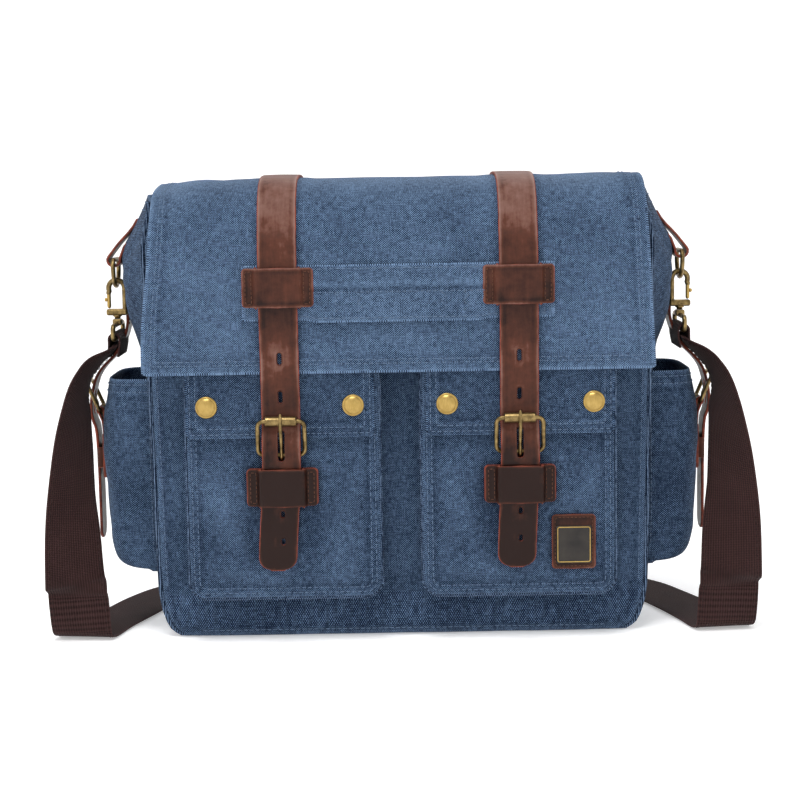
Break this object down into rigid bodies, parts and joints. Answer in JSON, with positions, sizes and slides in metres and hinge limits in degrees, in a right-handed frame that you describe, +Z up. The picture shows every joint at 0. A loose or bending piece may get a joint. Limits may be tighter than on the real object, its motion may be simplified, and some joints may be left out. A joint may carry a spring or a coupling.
{
  "type": "messenger bag",
  "caption": "Canvas messenger bag with a front flap, leather buckle straps, buttoned front pockets, belted side pockets and a webbing shoulder strap.",
  "frame": {"origin": "centre of the base, on the surface that the bag stands on", "axes": "+Z up, the front faces -Y, +X to the right of someone who looks at the front"},
  "size_m": [0.5262, 0.2634, 0.3426],
  "materials": {
    "canvas": "stone-washed heavy cotton canvas",
    "leather": "oiled dark brown leather with red-brown edges",
    "webbing": "dark brown woven webbing",
    "brass": "antique brass",
    "gold": "bright polished brass",
    "steel": "nickel-plated steel",
    "lining": "thin plain-woven lining",
    "board": "stiffening board",
    "plate": "black enamel with a brass rim"
  },
  "bodies": {
    "bag": {"back_panel": "canvas", "base_board": "board", "base_panel": "canvas", "d_ring_left": "brass", "d_ring_right": "brass", "front_panel": "canvas", "front_pocket_left": "canvas", "front_pocket_right": "canvas", "gusset_left": "canvas", "gusset_right": "canvas", "hook_body_left": "brass", "hook_body_right": "brass", "hook_eye_left": "brass", "hook_eye_right": "brass", "label_patch": "leather", "label_plate": "plate", "laptop_divider": "lining", "lining": "lining", "magnet_socket_left": "steel", "magnet_socket_right": "steel", "ring_chape_left": "leather", "ring_chape_right": "leather", "shoulder_pad": "leather", "side_belt_left": "leather", "side_belt_right": "leather", "side_buckle_frame_left": "brass", "side_buckle_frame_right": "brass", "side_keeper_left": "leather", "side_keeper_right": "leather", "side_pocket_left": "canvas", "side_pocket_right": "canvas", "strap_slider": "brass", "strap_webbing": "webbing"},
    "flap": {"flap_panel": "canvas", "carry_handle": "canvas", "flap_strap_left": "leather", "flap_strap_right": "leather", "upper_keeper_left": "leather", "upper_keeper_right": "leather", "buckle_frame_left": "brass", "buckle_frame_right": "brass", "buckle_chape_left": "leather", "buckle_chape_right": "leather", "lower_keeper_left": "leather", "lower_keeper_right": "leather"},
    "lid_left": {"pocket_flap_left": "canvas", "snap_cap_left_1": "gold", "snap_cap_left_2": "gold"},
    "roller_left": {"roller_left": "brass"},
    "prong_left": {"prong_left": "brass"},
    "side_prong_left": {"side_buckle_prong_left": "brass"},
    "gate_left": {"hook_gate_left": "brass"},
    "lid_right": {"pocket_flap_right": "canvas", "snap_cap_right_1": "gold", "snap_cap_right_2": "gold"},
    "roller_right": {"roller_right": "brass"},
    "prong_right": {"prong_right": "brass"},
    "side_prong_right": {"side_buckle_prong_right": "brass"},
    "gate_right": {"hook_gate_right": "brass"}
  },
  "joints": [
    {"name": "flap_hinge", "type": "hinge", "parent": "bag", "child": "flap", "pos_m": [0, 0.06, 0.3186], "axis": [-1, 0, 0], "range_deg": [0, 135]},
    {"name": "pocket_flap_hinge_left", "type": "hinge", "parent": "bag", "child": "lid_left", "pos_m": [-0.0855, -0.062, 0.222], "axis": [-1, 0, 0], "range_deg": [0, 80]},
    {"name": "roller_spin_left", "type": "hinge", "parent": "flap", "child": "roller_left", "pos_m": [-0.086, -0.095, 0.166], "axis": [1, 0, 0], "continuous": true},
    {"name": "prong_hinge_left", "type": "hinge", "parent": "flap", "child": "prong_left", "pos_m": [-0.086, -0.091, 0.141], "axis": [1, 0, 0], "range_deg": [0, 18]},
    {"name": "side_prong_hinge_left", "type": "hinge", "parent": "bag", "child": "side_prong_left", "pos_m": [-0.2306, 0.012, 0.164], "axis": [0, -1, 0], "range_deg": [0, 18]},
    {"name": "gate_hinge_left", "type": "hinge", "parent": "bag", "child": "gate_left", "pos_m": [-0.22, -0.004, 0.245], "axis": [0, 1, 0], "range_deg": [0, 25], "stiffness_Nm_per_rad": 0.01},
    {"name": "pocket_flap_hinge_right", "type": "hinge", "parent": "bag", "child": "lid_right", "pos_m": [0.0855, -0.062, 0.222], "axis": [-1, 0, 0], "range_deg": [0, 80]},
    {"name": "roller_spin_right", "type": "hinge", "parent": "flap", "child": "roller_right", "pos_m": [0.086, -0.095, 0.166], "axis": [1, 0, 0], "continuous": true},
    {"name": "prong_hinge_right", "type": "hinge", "parent": "flap", "child": "prong_right", "pos_m": [0.086, -0.091, 0.141], "axis": [1, 0, 0], "range_deg": [0, 18]},
    {"name": "side_prong_hinge_right", "type": "hinge", "parent": "bag", "child": "side_prong_right", "pos_m": [0.2306, 0.012, 0.164], "axis": [0, 1, 0], "range_deg": [0, 18]},
    {"name": "gate_hinge_right", "type": "hinge", "parent": "bag", "child": "gate_right", "pos_m": [0.22, -0.004, 0.245], "axis": [0, -1, 0], "range_deg": [0, 25], "stiffness_Nm_per_rad": 0.01}
  ],
  "couplings": [
    {"joint": "pocket_flap_hinge_left", "follows": "flap_hinge", "ratio": 0.59},
    {"joint": "pocket_flap_hinge_right", "follows": "flap_hinge", "ratio": 0.59}
  ]
}
